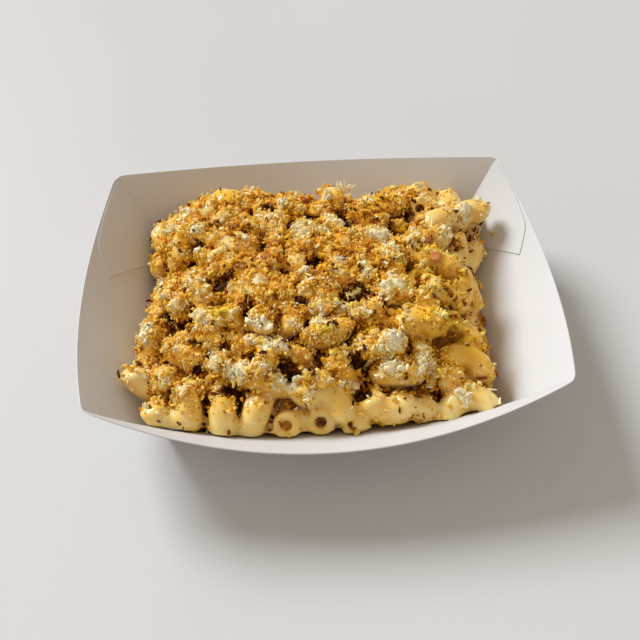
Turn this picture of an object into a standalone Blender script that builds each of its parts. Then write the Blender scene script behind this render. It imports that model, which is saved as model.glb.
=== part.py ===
"""Macaroni cheese served in a folded paperboard food tray, built as two solids:

tray            one folded blank of white paperboard: a flat base, four flared walls whose rims bow
                outwards and dip between the corners, and four corner tabs glued to the end walls
macaroni_heap   the pasta, sauce and crumb topping as one lumpy solid that fills the tray's floor

Lengths are in metres, +Z is up, X runs along the tray, and the origin is the middle of the
underside of the base.
"""

import math
import random

import bmesh
import bpy
from mathutils import Vector

MM = 0.001

# Tray: the folded blank
BASE_LENGTH, BASE_WIDTH = 118 * MM, 88 * MM  # between the base creases
RIM_LENGTH, RIM_WIDTH = 160 * MM, 117 * MM  # between the corners of the rim
CORNER_HEIGHT = 38.5 * MM  # of the corner creases
LONG_BOW, LONG_DIP = 15.7 * MM, 9.5 * MM  # how far the middle of a long rim stands out, and drops
END_BOW, END_DIP = 8.5 * MM, 8.0 * MM  # the same for an end rim
BOARD = 0.5 * MM  # thickness of the paperboard
CORNER_REACH, CORNER_CUT = 3 * MM, 0.9 * MM  # the blank's rounded corners: along the rim, and down
LONG_STEPS, END_STEPS, HEIGHT_STEPS = 22, 18, 3  # facets along each wall and up it

# Glued corner tabs, as places on an end wall: along it, from 0 at its middle to 1 at the crease,
# and up it, from 0 at the base to 1 at the rim
TAB_OUTLINE = ((0.93, 0.04), (0.25, 0.78), (0.43, 0.955), (0.70, 0.985), (0.96, 0.975))
TAB_ROOT = 1.004  # the tab's root runs this far past the crease, into the board of the long wall
TAB_EMBED = 0.2 * MM  # glued face of a tab, sunk into the wall that carries it
TAB_ROWS, TAB_COLUMNS = 16, 8

# Heap of macaroni
HEAP_GAP = 0.35 * MM  # free air between the heap and the board
HEAP_OUTLINE = (  # edge of the heap seen from above, anticlockwise from the middle of its right end
    (66, 2), (67, 16), (72, 30), (73, 46), (58, 55), (38, 57), (12, 58), (-14, 58),
    (-38, 57), (-56, 55), (-69, 47), (-68, 30), (-67, 14), (-68, -2), (-71, -18), (-71, -34),
    (-66, -49), (-49, -58), (-25, -61), (0, -61), (24, -60), (44, -57), (61, -49), (66, -23),
)
HEAP_PEAK = 40 * MM  # height of the heap's crown, before the pasta's swell
CROWN_Y = 8 * MM  # the crown lies this far behind the tray's middle
CROWN_FALL, SHOULDER = 2.4, 0.55  # powers: how late the crown falls away, and how steep its edge is
FRONT_SLOPE = 0.5  # added to the shoulder's power at the front, where the heap runs out more gently
LUMP_SPACING = 10.5 * MM  # from one piece of pasta to the next
LUMP_RADIUS = (10 * MM, 5.2 * MM)  # half length and half width of a piece on the surface
LUMP_HEIGHT = 4 * MM
HEAP_GRID = (50, 40)  # facets along and across the heap
SEED = 20


def rim_drop(distance):
    """How far the rim is cut down at a distance along it from the nearest corner."""
    return CORNER_CUT * max(0.0, 1 - max(0.0, distance) / CORNER_REACH) ** 2


def wall_point(wall, along, up):
    """A point on the inner face of a wall. along runs from -1 to 1 between its corner creases in
    the direction of +X or +Y, and up from 0 at the base to 1 at the rim."""
    side = 1 if wall in ("back", "right") else -1
    swell = 1 - along * along
    if wall in ("front", "back"):
        half, base_across, rim_across = RIM_LENGTH / 2, BASE_WIDTH / 2, RIM_WIDTH / 2
        base_along, bow, dip = BASE_LENGTH / 2, LONG_BOW, LONG_DIP
    else:
        half, base_across, rim_across = RIM_WIDTH / 2, BASE_LENGTH / 2, RIM_LENGTH / 2
        base_along, bow, dip = BASE_WIDTH / 2, END_BOW, END_DIP
    cut = 1 - rim_drop((1 - abs(along)) * half) / CORNER_HEIGHT
    up *= cut
    run = along * (base_along + (half - base_along) * up)
    across = side * (base_across + (rim_across + bow * swell - base_across) * up)
    height = BOARD + (CORNER_HEIGHT - dip * swell - BOARD) * up
    if wall in ("front", "back"):
        return Vector((run, across, height))
    return Vector((across, run, height))


def wall_normal(wall, along, up):
    """Unit normal of a wall's inner face, pointing into the tray."""
    step = 0.01
    inside = max(-0.97, min(0.97, along))
    across = wall_point(wall, inside + step, up) - wall_point(wall, inside - step, up)
    rise = wall_point(wall, inside, 0.6) - wall_point(wall, inside, 0.4)
    normal = across.cross(rise).normalized()
    centre = Vector((0, 0, CORNER_HEIGHT)) - wall_point(wall, inside, up)
    return normal if normal.dot(centre) > 0 else -normal


def spread(count):
    """count steps from -1 to 1, finer near both ends, where the rim's corners are round."""
    places = [math.sin(math.pi / 2 * (2 * i / count - 1)) for i in range(count)]
    return [0.45 * p + 0.55 * (2 * i / count - 1) for i, p in enumerate(places)]


def tray_loop(up):
    """The closed loop round all four inner faces at one share of the walls' height."""
    loop = [wall_point("front", a, up) for a in spread(LONG_STEPS)]
    loop += [wall_point("right", a, up) for a in spread(END_STEPS)]
    loop += [wall_point("back", -a, up) for a in spread(LONG_STEPS)]
    loop += [wall_point("left", -a, up) for a in spread(END_STEPS)]
    return loop


def mesh_object(name, bm, collection, material=None):
    """Puts a finished bmesh into an object of its own."""
    mesh = bpy.data.meshes.new(name)
    bm.to_mesh(mesh)
    bm.free()
    if material:
        mesh.materials.append(material)
    piece = bpy.data.objects.new(name, mesh)
    collection.objects.link(piece)
    return piece


def loft(bm, rows, closed):
    """Joins rows of points with quads; closed rows run all the way round."""
    made = [[bm.verts.new(p) for p in row] for row in rows]
    count = len(made[0])
    for low, high in zip(made, made[1:]):
        for i in range(count if closed else count - 1):
            j = (i + 1) % count
            bm.faces.new((low[i], low[j], high[j], high[i]))
    return made


def make_material(name, colour, roughness, coat=0.0):
    material = bpy.data.materials.new(name)
    material.use_nodes = True
    shader = material.node_tree.nodes["Principled BSDF"]
    shader.inputs["Base Color"].default_value = (*colour, 1)
    shader.inputs["Roughness"].default_value = roughness
    shader.inputs["Metallic"].default_value = 0
    shader.inputs["Coat Weight"].default_value = coat
    return material


def make_shell(collection, material):
    """The base and walls: an open surface along the inner faces, thickened outwards."""
    bm = bmesh.new()
    rings = [tray_loop(i / HEIGHT_STEPS) for i in range(HEIGHT_STEPS + 1)]
    bottom = loft(bm, rings, closed=True)[0]
    bm.faces.new(bottom)
    bmesh.ops.recalc_face_normals(bm, faces=bm.faces)
    if next(f for f in bm.faces if len(f.verts) > 4).normal.z < 0:
        bmesh.ops.reverse_faces(bm, faces=bm.faces)
    shell = mesh_object("tray", bm, collection, material)
    board = shell.modifiers.new("board", "SOLIDIFY")
    board.thickness = BOARD
    board.offset = -1
    board.use_even_offset = True
    return shell


def outline_points(outline, count):
    """count points spread evenly along an open outline of straight stretches."""
    lengths = [math.dist(a, b) for a, b in zip(outline, outline[1:])]
    points = []
    for i in range(count):
        left = sum(lengths) * i / (count - 1)
        for (a, b), length in zip(zip(outline, outline[1:]), lengths):
            if left <= length or (a, b) == (outline[-2], outline[-1]):
                share = min(1.0, left / length)
                points.append([a[k] + (b[k] - a[k]) * share for k in (0, 1)])
                break
            left -= length
    return points


def make_tab(wall, crease, outside, collection):
    """One corner tab, glued to an end wall from its crease with a long wall. crease is 1 at the
    back and -1 at the front. The back tabs lie inside the tray and the front tabs outside."""
    free_edge = outline_points(TAB_OUTLINE, TAB_ROWS)
    low, high = TAB_OUTLINE[0][1], TAB_OUTLINE[-1][1]
    faces = (BOARD - TAB_EMBED, 2 * BOARD) if outside else (TAB_EMBED, BOARD)
    bm = bmesh.new()
    sheets = []
    for depth in faces:
        rows = []
        for i, (edge_along, edge_up) in enumerate(free_edge):
            root_up = low + (high - low) * i / (TAB_ROWS - 1)
            row = []
            for k in range(TAB_COLUMNS):
                share = k / (TAB_COLUMNS - 1)
                along = crease * (TAB_ROOT + (edge_along - TAB_ROOT) * share)
                up = root_up + (edge_up - root_up) * share
                sunk = depth if outside or depth == BOARD else -depth
                sign = -1 if outside else 1
                row.append(wall_point(wall, along, up) + wall_normal(wall, along, up) * sign * sunk)
            rows.append(row)
        sheets.append(loft(bm, rows, closed=False))
    inner, outer = sheets
    rim = lambda s: [*s[0], *[r[-1] for r in s[1:]], *s[-1][-2::-1], *[r[0] for r in s[-2:0:-1]]]
    ring_in, ring_out = rim(inner), rim(outer)
    for i, vertex in enumerate(ring_in):
        j = (i + 1) % len(ring_in)
        bm.faces.new((vertex, ring_in[j], ring_out[j], ring_out[i]))
    bmesh.ops.recalc_face_normals(bm, faces=bm.faces)
    tab = mesh_object(f"tab_{wall}_{'back' if crease > 0 else 'front'}", bm, collection)
    tab.hide_render = True
    tab.display_type = "WIRE"
    return tab


def make_tray(parts, cutters):
    """The folded blank: the shell joined with its four glued tabs."""
    board = make_material("paperboard", (0.86, 0.86, 0.85), 0.5)
    tray = make_shell(parts, board)
    for wall in ("left", "right"):
        for crease in (1, -1):
            tab = make_tab(wall, crease, crease < 0, cutters)
            glue = tray.modifiers.new(tab.name, "BOOLEAN")
            glue.operation = "UNION"
            glue.object = tab
    return tray


def wall_height(x, y):
    """Height of the tray's inner surface, drawn in by the heap's gap, above a point in plan."""
    height = BOARD
    for wall, run, across in (("long", x, abs(y)), ("end", y, abs(x))):
        if wall == "long":
            base, rim, base_half, half = BASE_WIDTH, RIM_WIDTH, BASE_LENGTH / 2, RIM_LENGTH / 2
            bow, dip, inset = LONG_BOW, LONG_DIP, 1.6 * HEAP_GAP
        else:
            base, rim, base_half, half = BASE_LENGTH, RIM_LENGTH, BASE_WIDTH / 2, RIM_WIDTH / 2
            bow, dip, inset = END_BOW, END_DIP, 1.6 * (HEAP_GAP + BOARD)
        up = 0.0
        for _ in range(12):
            along = max(-1.0, min(1.0, run / (base_half + (half - base_half) * up)))
            swell = 1 - along * along
            width = rim / 2 + bow * swell - base / 2
            up = max(0.0, (across + inset - base / 2) / width)
        height = max(height, BOARD + (CORNER_HEIGHT - dip * swell - BOARD) * up)
    return height


def smooth_outline(a, b):
    """The heap's edge as a closed Catmull-Rom curve through its points, at the place of (a, b) on
    the rim of the square from -1 to 1. An eighth of the points lie on each half side."""
    if a >= abs(b):
        turn = b / 8
    elif b >= abs(a):
        turn = (2 - a) / 8
    elif a <= -abs(b):
        turn = (4 - b) / 8
    else:
        turn = (6 + a) / 8
    place = (turn % 1.0) * len(HEAP_OUTLINE)
    i = int(place)
    f = place - i
    p = [Vector(HEAP_OUTLINE[(i + k) % len(HEAP_OUTLINE)]) * MM for k in (-1, 0, 1, 2)]
    return 0.5 * (
        2 * p[1]
        + (p[2] - p[0]) * f
        + (2 * p[0] - 5 * p[1] + 4 * p[2] - p[3]) * f**2
        + (3 * p[1] - p[0] - 3 * p[2] + p[3]) * f**3
    )


def pasta_lumps():
    """Places and directions of the pieces of pasta that swell the heap's surface."""
    chance = random.Random(SEED)
    lumps = []
    rows = int(RIM_WIDTH * 1.2 / LUMP_SPACING)
    columns = int(RIM_LENGTH * 1.1 / LUMP_SPACING)
    for r in range(rows + 1):
        for c in range(columns + 1):
            x = (c - columns / 2 + 0.5 * (r % 2) + chance.uniform(-0.3, 0.3)) * LUMP_SPACING
            y = (r - rows / 2 + chance.uniform(-0.3, 0.3)) * LUMP_SPACING
            lumps.append((x, y, chance.uniform(0, math.pi), chance.uniform(0.4, 1.0)))
    return lumps


def lump_swell(x, y, lumps):
    """How far the pasta swells the surface at a point in plan: the highest lump over it."""
    best = 0.0
    for cx, cy, turn, size in lumps:
        dx, dy = x - cx, y - cy
        if abs(dx) > LUMP_RADIUS[0] or abs(dy) > LUMP_RADIUS[0]:
            continue
        u = (dx * math.cos(turn) + dy * math.sin(turn)) / LUMP_RADIUS[0]
        v = (dy * math.cos(turn) - dx * math.sin(turn)) / LUMP_RADIUS[1]
        best = max(best, size * LUMP_HEIGHT * math.sqrt(max(0.0, 1 - u * u - v * v)))
    return best


def heap_point(a, b, lumps, top):
    """A point on the heap's upper or lower face, from its place (a, b) on a square grid."""
    reach = max(abs(a), abs(b))
    edge = smooth_outline(a / reach, b / reach) if reach else Vector((0, 0))
    x, y = edge.x * reach, edge.y * reach + CROWN_Y * (1 - reach)
    floor = wall_height(x, y) + HEAP_GAP
    if not top:
        return Vector((x, y, floor))
    start = wall_height(edge.x, edge.y) + HEAP_GAP
    slope = SHOULDER + FRONT_SLOPE * (max(0.0, -b) / reach if reach else 0.0) ** 2
    rise = (1 - reach**CROWN_FALL) ** slope
    height = start + (HEAP_PEAK - start) * rise
    height += lump_swell(x, y, lumps) * min(1.0, 4 * (1 - reach))
    return Vector((x, y, max(floor, height)))


def make_heap(parts):
    """The food: two grids drawn out to the heap's uneven edge and joined along it. The lower one
    lies just over the tray's inner surface and the upper one is raised into a lumpy crown."""
    sauce = make_material("macaroni", (0.80, 0.58, 0.20), 0.35, coat=0.4)
    lumps = pasta_lumps()
    bm = bmesh.new()
    for top in (True, False):
        columns, rows = HEAP_GRID
        grid = bmesh.ops.create_grid(bm, x_segments=columns, y_segments=rows, size=1)
        for vertex in grid["verts"]:
            vertex.co = heap_point(vertex.co.x, vertex.co.y, lumps, top)
    bmesh.ops.remove_doubles(bm, verts=bm.verts, dist=0.01 * MM)
    bmesh.ops.dissolve_limit(bm, angle_limit=math.radians(0.1), verts=bm.verts, edges=bm.edges)
    bmesh.ops.triangulate(bm, faces=bm.faces)
    bmesh.ops.recalc_face_normals(bm, faces=bm.faces)
    heap = mesh_object("macaroni_heap", bm, parts, sauce)
    heap.data.shade_smooth()
    return heap


def main():
    for old in list(bpy.data.objects):
        bpy.data.objects.remove(old)
    parts = bpy.data.collections.new("macaroni cheese in a tray")
    cutters = bpy.data.collections.new("tabs to join")
    for collection in (parts, cutters):
        bpy.context.scene.collection.children.link(collection)
    make_tray(parts, cutters)
    make_heap(parts)


main()
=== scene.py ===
"""Macaroni cheese in a folded paperboard tray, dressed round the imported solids.

The sections follow the order of making: the table and light, the tray, the macaroni, the crumb
crust, and the shreds and specks on top. Lengths are in metres and the frame is the part's own:
X along the tray, Y towards its back, Z up, with the origin under the middle of the base.
"""

import math
import random

import bmesh
import bpy
import numpy as np
from mathutils import Euler, Matrix, Vector
from mathutils.bvhtree import BVHTree


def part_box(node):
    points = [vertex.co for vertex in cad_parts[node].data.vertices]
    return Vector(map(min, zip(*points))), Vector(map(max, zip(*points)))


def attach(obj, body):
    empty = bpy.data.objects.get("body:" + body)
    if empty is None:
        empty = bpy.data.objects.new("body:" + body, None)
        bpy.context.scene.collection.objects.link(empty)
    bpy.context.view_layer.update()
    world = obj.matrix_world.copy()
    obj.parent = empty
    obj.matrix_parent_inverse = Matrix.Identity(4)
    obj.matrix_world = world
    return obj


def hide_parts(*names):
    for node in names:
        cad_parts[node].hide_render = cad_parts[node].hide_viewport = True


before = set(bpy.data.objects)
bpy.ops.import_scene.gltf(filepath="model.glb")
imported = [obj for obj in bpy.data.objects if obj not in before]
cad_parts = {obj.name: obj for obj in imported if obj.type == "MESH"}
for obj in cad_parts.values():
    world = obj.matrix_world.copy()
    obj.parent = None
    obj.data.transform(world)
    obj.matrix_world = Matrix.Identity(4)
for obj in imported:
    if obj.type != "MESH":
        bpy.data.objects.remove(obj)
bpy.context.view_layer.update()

MM = 0.001

# ---------------------------------------------------------------------------------------------
# Table, light and camera. A plain pale tabletop under one big soft window on the far left, with
# even light from the room round it. The camera looks down into the tray from the front.

CAMERA_TARGET = Vector((-0.4, -10.5, 20)) * MM
CAMERA_DISTANCE, CAMERA_HEIGHT, CAMERA_TURN, CAMERA_ROLL = 303.7 * MM, 49.2, -3.8, -0.5
TABLE_HALF = 5  # metres
TABLE_COLOURS = (0.66, 0.66, 0.655), (0.69, 0.69, 0.685)
WINDOW_TURN, WINDOW_HEIGHT = 136, 37
WINDOW_STRENGTH, WINDOW_SPREAD = 3.12, 24
WINDOW_COLOUR = (0.91, 0.95, 1.0)
ROOM_LIGHT = 0.47
ROOM_COLOUR, BACKDROP_COLOUR = (1.0, 0.90, 0.79), (0.70, 0.70, 0.69)


class Wire:
    """A shader value. Arithmetic on it adds Math nodes, and node() adds any other kind."""

    def __init__(self, tree, socket=None):
        self.tree = tree
        self.socket = socket

    def node(self, kind, settings=None, values=None, output=0, stops=None):
        """Adds a node with its settings, ramp stops and input values or links."""
        made = self.tree.nodes.new(kind)
        for name, value in (settings or {}).items():
            setattr(made, name, value)
        if stops:
            ramp = made.color_ramp.elements
            while len(ramp) < len(stops):
                ramp.new(1)
            for element, (place, colour) in zip(ramp, stops):
                element.position = place
                element.color = (*colour, 1) if len(colour) == 3 else colour
        for name, value in (values or {}).items():
            self.link(made.inputs[name], value)
        return Wire(self.tree, made.outputs[output])

    def link(self, socket, value):
        """Feeds an input from another Wire, or sets it."""
        if isinstance(value, Wire):
            self.tree.links.new(value.socket, socket)
        elif hasattr(socket.default_value, "__len__") and len(value) < len(socket.default_value):
            socket.default_value = (*value, 1)
        else:
            socket.default_value = value

    def math(self, operation, *terms):
        return self.node("ShaderNodeMath", {"operation": operation}, dict(enumerate(terms)))

    def __add__(self, other):
        return self.math("ADD", self, other)

    def __sub__(self, other):
        return self.math("SUBTRACT", self, other)

    def __rsub__(self, other):
        return self.math("SUBTRACT", other, self)

    def __mul__(self, other):
        return self.math("MULTIPLY", self, other)

    __radd__, __rmul__ = __add__, __mul__

    def ramp(self, low, high):
        """0 below low and 1 above high, with a smooth step between them."""
        values = {"Value": self, "From Min": low, "From Max": high}
        return self.node("ShaderNodeMapRange", {"interpolation_type": "SMOOTHSTEP"}, values)

    def mix(self, first, second):
        """The colour first turning into second as this value goes from 0 to 1."""
        values = {0: self, 6: first, 7: second}
        return self.node("ShaderNodeMix", {"data_type": "RGBA"}, values, output=2)

    def noise(self, size, detail=3, rough=0.5):
        """Noise with features of about the given size in metres."""
        place = self.node("ShaderNodeTexCoord", output="Object")
        values = {"Vector": place, "Scale": 1 / size, "Detail": detail, "Roughness": rough}
        return self.node("ShaderNodeTexNoise", None, values)

    def attribute(self, name):
        return self.node("ShaderNodeAttribute", {"attribute_name": name}, output="Fac")

    def bump(self, distance, strength=1.0):
        """A Normal from this height, in steps of distance."""
        values = {"Height": self, "Distance": distance, "Strength": strength}
        return self.node("ShaderNodeBump", None, values)


def new_finish(name, **constants):
    """A material with its shader's fixed sockets set. Returns it, its shader and a bare Wire."""
    material = bpy.data.materials.new(name)
    material.use_nodes = True
    shader = material.node_tree.nodes["Principled BSDF"]
    for socket, value in constants.items():
        shader.inputs[socket.replace("_", " ")].default_value = value
    return material, shader, Wire(material.node_tree)


def new_piece(name, mesh, material):
    """An object for a finished mesh, standing at the origin."""
    piece = bpy.data.objects.new(name, mesh)
    bpy.context.scene.collection.objects.link(piece)
    mesh.materials.clear()
    mesh.materials.append(material)
    return piece


def from_above(turn, height, distance):
    """A point round the origin: degrees from +X, degrees above the table, and metres away."""
    turn, height = math.radians(turn), math.radians(height)
    flat = distance * math.cos(height)
    return Vector((flat * math.cos(turn), flat * math.sin(turn), distance * math.sin(height)))


def aim(thing, place, target, roll=0):
    """Stands a lamp or camera at place, looking at target."""
    thing.location = place
    look = (target - place).to_track_quat("-Z", "Y").to_matrix().to_4x4()
    thing.rotation_euler = (look @ Matrix.Rotation(math.radians(roll), 4, "Z")).to_euler()


def light_the_room():
    table_finish, shader, wire = new_finish("tabletop", Roughness=0.6)
    cloud = wire.noise(0.35, detail=2).ramp(0.3, 0.7)
    wire.link(shader.inputs["Base Color"], cloud.mix(*TABLE_COLOURS))
    bm = bmesh.new()
    bmesh.ops.create_grid(bm, x_segments=2, y_segments=2, size=TABLE_HALF)
    mesh = bpy.data.meshes.new("tabletop")
    bm.to_mesh(mesh)
    bm.free()
    new_piece("tabletop", mesh, table_finish)

    lamp = bpy.data.lights.new("window", "SUN")
    lamp.energy = WINDOW_STRENGTH
    lamp.angle = math.radians(WINDOW_SPREAD)
    lamp.color = WINDOW_COLOUR
    window = bpy.data.objects.new("window", lamp)
    bpy.context.scene.collection.objects.link(window)
    aim(window, from_above(WINDOW_TURN, WINDOW_HEIGHT, 1), Vector())

    room = bpy.data.worlds.new("room")
    room.use_nodes = True
    light = room.node_tree.nodes["Background"]
    wire = Wire(room.node_tree)
    lit = [part * ROOM_LIGHT for part in ROOM_COLOUR]
    seen = wire.node("ShaderNodeLightPath", output="Is Camera Ray")
    wire.link(light.inputs["Color"], seen.mix(lit, BACKDROP_COLOUR))
    bpy.context.scene.world = room


def stand_the_camera():
    lens = bpy.data.cameras.new("camera")
    lens.lens, lens.sensor_width = 45, 36
    lens.clip_start = 0.01
    camera = bpy.data.objects.new("camera", lens)
    bpy.context.scene.collection.objects.link(camera)
    place = CAMERA_TARGET + from_above(CAMERA_TURN - 90, CAMERA_HEIGHT, CAMERA_DISTANCE)
    aim(camera, place, CAMERA_TARGET, CAMERA_ROLL)
    bpy.context.scene.camera = camera
    bpy.context.scene.view_settings.view_transform = "Standard"


light_the_room()
stand_the_camera()

# ---------------------------------------------------------------------------------------------
# Tray. One blank of smooth white paperboard, scored and folded up into four flared walls. Each
# end wall is held by two tabs from the long walls, glued inside it at the back and outside it at
# the front, and the scored folds leave a fine bead down the corners.

tray_low, tray_high = (Vector(corner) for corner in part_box("tray"))
TRAY_MIDDLE = (tray_low + tray_high) / 2
BOARD = 0.5 * MM
LONG_BOW, LONG_DIP, END_BOW, END_DIP = 15.7 * MM, 9.5 * MM, 8.5 * MM, 8 * MM
BASE_HALF = (59 * MM, 44 * MM)
RIM_HALF = (80 * MM, 58.5 * MM)
CORNER_HEIGHT = 38.5 * MM
CORNER_REACH, CORNER_CUT = 3 * MM, 0.9 * MM
TAB_OUTLINE = ((0.93, 0.04), (0.25, 0.78), (0.43, 0.955), (0.70, 0.985), (0.96, 0.975))
TAB_FACES = (0.05 * MM, -0.42 * MM)  # a tab's two faces, measured from the wall it is glued to
FOLD_BEAD = 0.32 * MM
EDGE_CROWN = 0.12 * MM  # how far the cut edge is rounded up
FOLD_SHARPNESS = 28  # degrees, above which a fold is shaded sharp
PAPER_COLOURS = (0.67, 0.668, 0.665), (0.69, 0.688, 0.685)
FIBRE_COLOUR = (0.655, 0.652, 0.647)


def wall_point(wall, along, up, lift=0.0):
    """A point on a wall's inner face: along it from -1 to 1 between its corner folds, up it from
    0 to 1, and lifted off it into the tray."""
    long_wall = wall in ("front", "back")
    side = 1 if wall in ("back", "right") else -1
    run_axis, cross_axis = (0, 1) if long_wall else (1, 0)
    bow, dip = (LONG_BOW, LONG_DIP) if long_wall else (END_BOW, END_DIP)
    swell = 1 - along * along
    distance = (1 - abs(along)) * RIM_HALF[run_axis]
    cut = CORNER_CUT * max(0.0, 1 - max(0.0, distance) / CORNER_REACH) ** 2
    up *= 1 - cut / CORNER_HEIGHT
    run = along * (BASE_HALF[run_axis] + (RIM_HALF[run_axis] - BASE_HALF[run_axis]) * up)
    reach = RIM_HALF[cross_axis] + bow * swell - BASE_HALF[cross_axis]
    rise = CORNER_HEIGHT - dip * swell - BOARD
    slope = math.hypot(reach, rise)
    across = side * (BASE_HALF[cross_axis] + reach * up - lift * rise / slope)
    height = BOARD + rise * up + lift * reach / slope
    place = (run, across, height) if long_wall else (across, run, height)
    return Vector(place) + Vector((TRAY_MIDDLE.x, TRAY_MIDDLE.y, 0))


def spread(count):
    """Places from -1 to 1, closer together towards both ends."""
    even = [2 * i / count - 1 for i in range(count + 1)]
    return [0.5 * place + 0.5 * math.sin(math.pi / 2 * place) for place in even]


def add_sheet(bm, rows, closed=False):
    """Quads through rows of points, closed round into a ring or left open."""
    made = [[bm.verts.new(point) for point in row] for row in rows]
    count = len(made[0])
    for low, high in zip(made, made[1:]):
        for i in range(count if closed else count - 1):
            j = (i + 1) % count
            bm.faces.new((low[i], low[j], high[j], high[i]))
    return made


def add_slab(bm, lower, upper):
    """A closed slab between two sheets of the same number of rows and columns."""
    made = add_sheet(bm, lower), add_sheet(bm, upper)
    rims = []
    for sheet in made:
        rim = [*sheet[0], *[row[-1] for row in sheet[1:-1]], *sheet[-1][::-1]]
        rims.append(rim + [row[0] for row in sheet[-2:0:-1]])
    for i in range(len(rims[0])):
        j = (i + 1) % len(rims[0])
        bm.faces.new((rims[0][i], rims[0][j], rims[1][j], rims[1][i]))


def add_walls(bm):
    """The base and walls as one shell: up the inner faces, over the cut edge, down the outer."""
    levels = [0.0, 0.03, 0.15, 0.3, 0.45, 0.6, 0.75, 0.88, 0.97, 1.0]
    loops = []
    for lift in (0.0, -BOARD):
        rings = []
        for level in levels:
            ring = []
            for wall, sign in (("front", 1), ("right", 1), ("back", -1), ("left", -1)):
                count = 56 if wall in ("front", "back") else 44
                ring += [wall_point(wall, sign * p, level, lift) for p in spread(count)[:-1]]
            rings.append(ring)
        loops.append(rings)
    inner, outer = loops
    for point in outer[0]:
        point.z = 0.0
    over = [[(a + b) / 2 + Vector((0, 0, EDGE_CROWN)) for a, b in zip(inner[-1], outer[-1])]]
    made = add_sheet(bm, [*inner, *over, *outer[::-1]], closed=True)
    bm.faces.new(made[0])
    bm.faces.new(made[-1])


def add_tab(bm, wall, crease, outside):
    """A corner tab glued on an end wall, from the corner fold to its cut outline."""
    columns, rows = 12, 26
    lengths = [math.dist(a, b) for a, b in zip(TAB_OUTLINE, TAB_OUTLINE[1:])]
    edge = []
    for i in range(rows):
        left = sum(lengths) * i / (rows - 1)
        for a, b, length in zip(TAB_OUTLINE, TAB_OUTLINE[1:], lengths):
            if left <= length or b == TAB_OUTLINE[-1]:
                share = min(1.0, left / length)
                edge.append([a[k] + (b[k] - a[k]) * share for k in (0, 1)])
                break
            left -= length
    bottom, top = TAB_OUTLINE[0][1], TAB_OUTLINE[-1][1]
    sheets = []
    for depth in TAB_FACES:
        lift = depth - BOARD if outside else -depth
        sheet = []
        for i, (edge_along, edge_up) in enumerate(edge):
            root_up = bottom + (top - bottom) * i / (rows - 1)
            row = []
            for k in range(columns):
                share = k / (columns - 1)
                along = crease * (1.0 + (edge_along - 1.0) * share)
                row.append(wall_point(wall, along, root_up + (edge_up - root_up) * share, lift))
            sheet.append(row)
        sheets.append(sheet)
    add_slab(bm, *sheets)


def add_fold_bead(bm, wall, crease):
    """The fine raised bead that a scored fold leaves down a corner, inside the tray."""
    rings = []
    for level in [0.02 + 0.96 * i / 10 for i in range(11)]:
        centre = wall_point(wall, crease * 0.998, level)
        size = FOLD_BEAD * min(1.0, 8 * level, 12 * (1 - level))
        ring = []
        for k in range(8):
            turn = math.tau * k / 8
            ring.append(centre + Vector((math.cos(turn), math.sin(turn), 0)) * max(size, 0.03 * MM))
        rings.append(ring)
    made = add_sheet(bm, rings, closed=True)
    bm.faces.new(made[0])
    bm.faces.new(made[-1])


def make_tray():
    board, shader, wire = new_finish("white paperboard", IOR=1.45)
    fibre = wire.noise(0.5 * MM, detail=4, rough=0.7)
    cloud = wire.noise(14 * MM, detail=2)
    grease = wire.noise(9 * MM, detail=3).ramp(0.56, 0.75)
    colour = cloud.mix(*PAPER_COLOURS)
    colour = (fibre.ramp(0.35, 0.75) * 0.35).mix(colour, FIBRE_COLOUR)
    wire.link(shader.inputs["Base Color"], colour)
    wire.link(shader.inputs["Roughness"], 0.52 + 0.1 * cloud - 0.08 * grease)
    wire.link(shader.inputs["Normal"], (fibre + 1.6 * cloud).bump(0.05 * MM, 0.5))
    bm = bmesh.new()
    add_walls(bm)
    for wall in ("left", "right"):
        add_tab(bm, wall, 1, outside=False)
        add_tab(bm, wall, -1, outside=True)
        for crease in (1, -1):
            add_fold_bead(bm, wall, crease)
    bmesh.ops.recalc_face_normals(bm, faces=bm.faces)
    mesh = bpy.data.meshes.new("tray")
    bm.to_mesh(mesh)
    bm.free()
    mesh.shade_smooth()
    mesh.set_sharp_from_angle(angle=math.radians(FOLD_SHARPNESS))
    tray = new_piece("paperboard_tray", mesh, board)
    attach(tray, "root")
    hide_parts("tray")


make_tray()

# ---------------------------------------------------------------------------------------------
# Macaroni. Boiled elbow macaroni, short bent tubes about 9 mm thick once they are coated in
# cheese sauce. They lie as they settled in the tray, touching each other, and the sauce runs
# together wherever two of them meet.

ELBOW_BEND = 7.5 * MM  # radius of the tube's centreline
ELBOW_RADIUS = 4.9 * MM
ELBOW_HOLE = 1.9 * MM
ELBOW_ARCS = (75, 105, 130, 155, 175)  # degrees of bend that the pieces are cut to
SEALED_SHARE = 0.7  # of the elbows have their holes filled with sauce
ELBOW_BEADS = 7  # balls that stand for one elbow while the heap settles
LOOSE_ELBOWS = 135
LOOSE_DEPTH = 15 * MM  # they start no deeper than this under the heap's surface
SETTLE_STEPS = 60
SAUCE_GRAIN = 0.7 * MM  # spacing of the sauce surface's mesh
CORE_DROP = 8.2 * MM  # the plain core lies this far under the heap's surface
CORE_SHARE = 0.965  # of the heap's width and length that the core fills
CORE_CLEARANCE = 1.2 * MM  # between the core and the tray's base
FRONT_ROWS = 28 * MM  # no open ends but those of EDGE_ELBOWS show this near the front
SHOWN_DEPTH = 16 * MM  # elbows deeper than this under the heap's outline are left out
UNSEEN_DEPTH, UNSEEN_HEIGHT = 9 * MM, 8 * MM  # deeper or lower than this, the skin isn't seen
MOST_TRIANGLES = 195_000

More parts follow.
